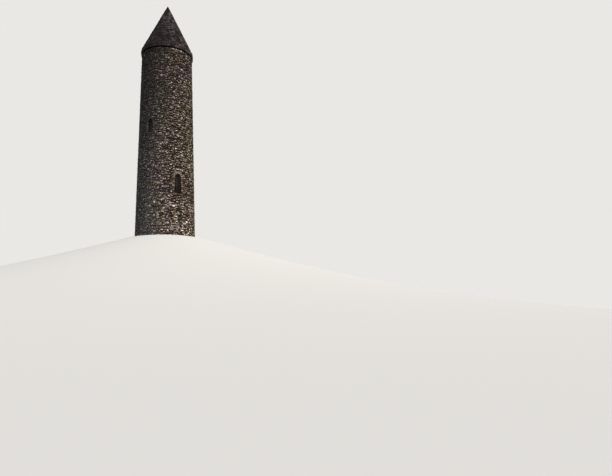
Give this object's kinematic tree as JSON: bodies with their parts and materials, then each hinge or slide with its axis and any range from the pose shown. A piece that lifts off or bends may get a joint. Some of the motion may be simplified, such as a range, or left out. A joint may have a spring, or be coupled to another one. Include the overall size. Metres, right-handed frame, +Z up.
{
  "type": "round tower",
  "caption": "Tall round stone bell tower with a leaning-in rubble wall, a doorway above the ground, a small pointed window, a thin cornice and a steep conical stone roof.",
  "frame": {"origin": "centre of the tower's foot, at the level where the wall meets the ground", "axes": "+Z up; the doorway looks along -Y; +X is to the right of someone who faces the doorway"},
  "size_m": [5.2198, 5.2198, 23.38],
  "materials": {
    "rubble_stone": "rough weathered rubble in lime mortar",
    "dressed_stone": "roughly dressed and weathered",
    "roof_stone": "thin dark coursed stone with lichen",
    "oak": "old unfinished oak"
  },
  "bodies": {
    "root": {"basement_wall": "rubble_stone", "entrance_wall": "rubble_stone", "middle_wall_lower": "rubble_stone", "middle_wall_right_band": "rubble_stone", "middle_wall_left_band": "rubble_stone", "middle_wall_upper": "rubble_stone", "top_wall_lower": "rubble_stone", "top_wall_window_band": "rubble_stone", "top_wall_upper": "rubble_stone", "entrance_joists": "oak", "entrance_floor": "oak", "middle_joists": "oak", "middle_floor": "oak", "top_joists": "oak", "top_floor": "oak", "door_sill": "dressed_stone", "door_left_jamb": "dressed_stone", "door_right_jamb": "dressed_stone", "door_arch": "dressed_stone", "front_window_sill": "dressed_stone", "front_window_left_jamb": "dressed_stone", "front_window_right_jamb": "dressed_stone", "front_window_head": "dressed_stone", "front_window_lintel": "dressed_stone", "rear_window_sill": "dressed_stone", "rear_window_left_jamb": "dressed_stone", "rear_window_right_jamb": "dressed_stone", "rear_window_head": "dressed_stone", "rear_window_lintel": "dressed_stone", "top_window_sill": "dressed_stone", "top_window_left_jamb": "dressed_stone", "top_window_right_jamb": "dressed_stone", "top_window_head": "dressed_stone", "top_window_lintel": "dressed_stone", "eaves_cornice": "roof_stone", "roof_lower_courses": "roof_stone", "roof_middle_courses": "roof_stone", "roof_upper_courses": "roof_stone", "capstone": "roof_stone"}
  },
  "joints": []
}
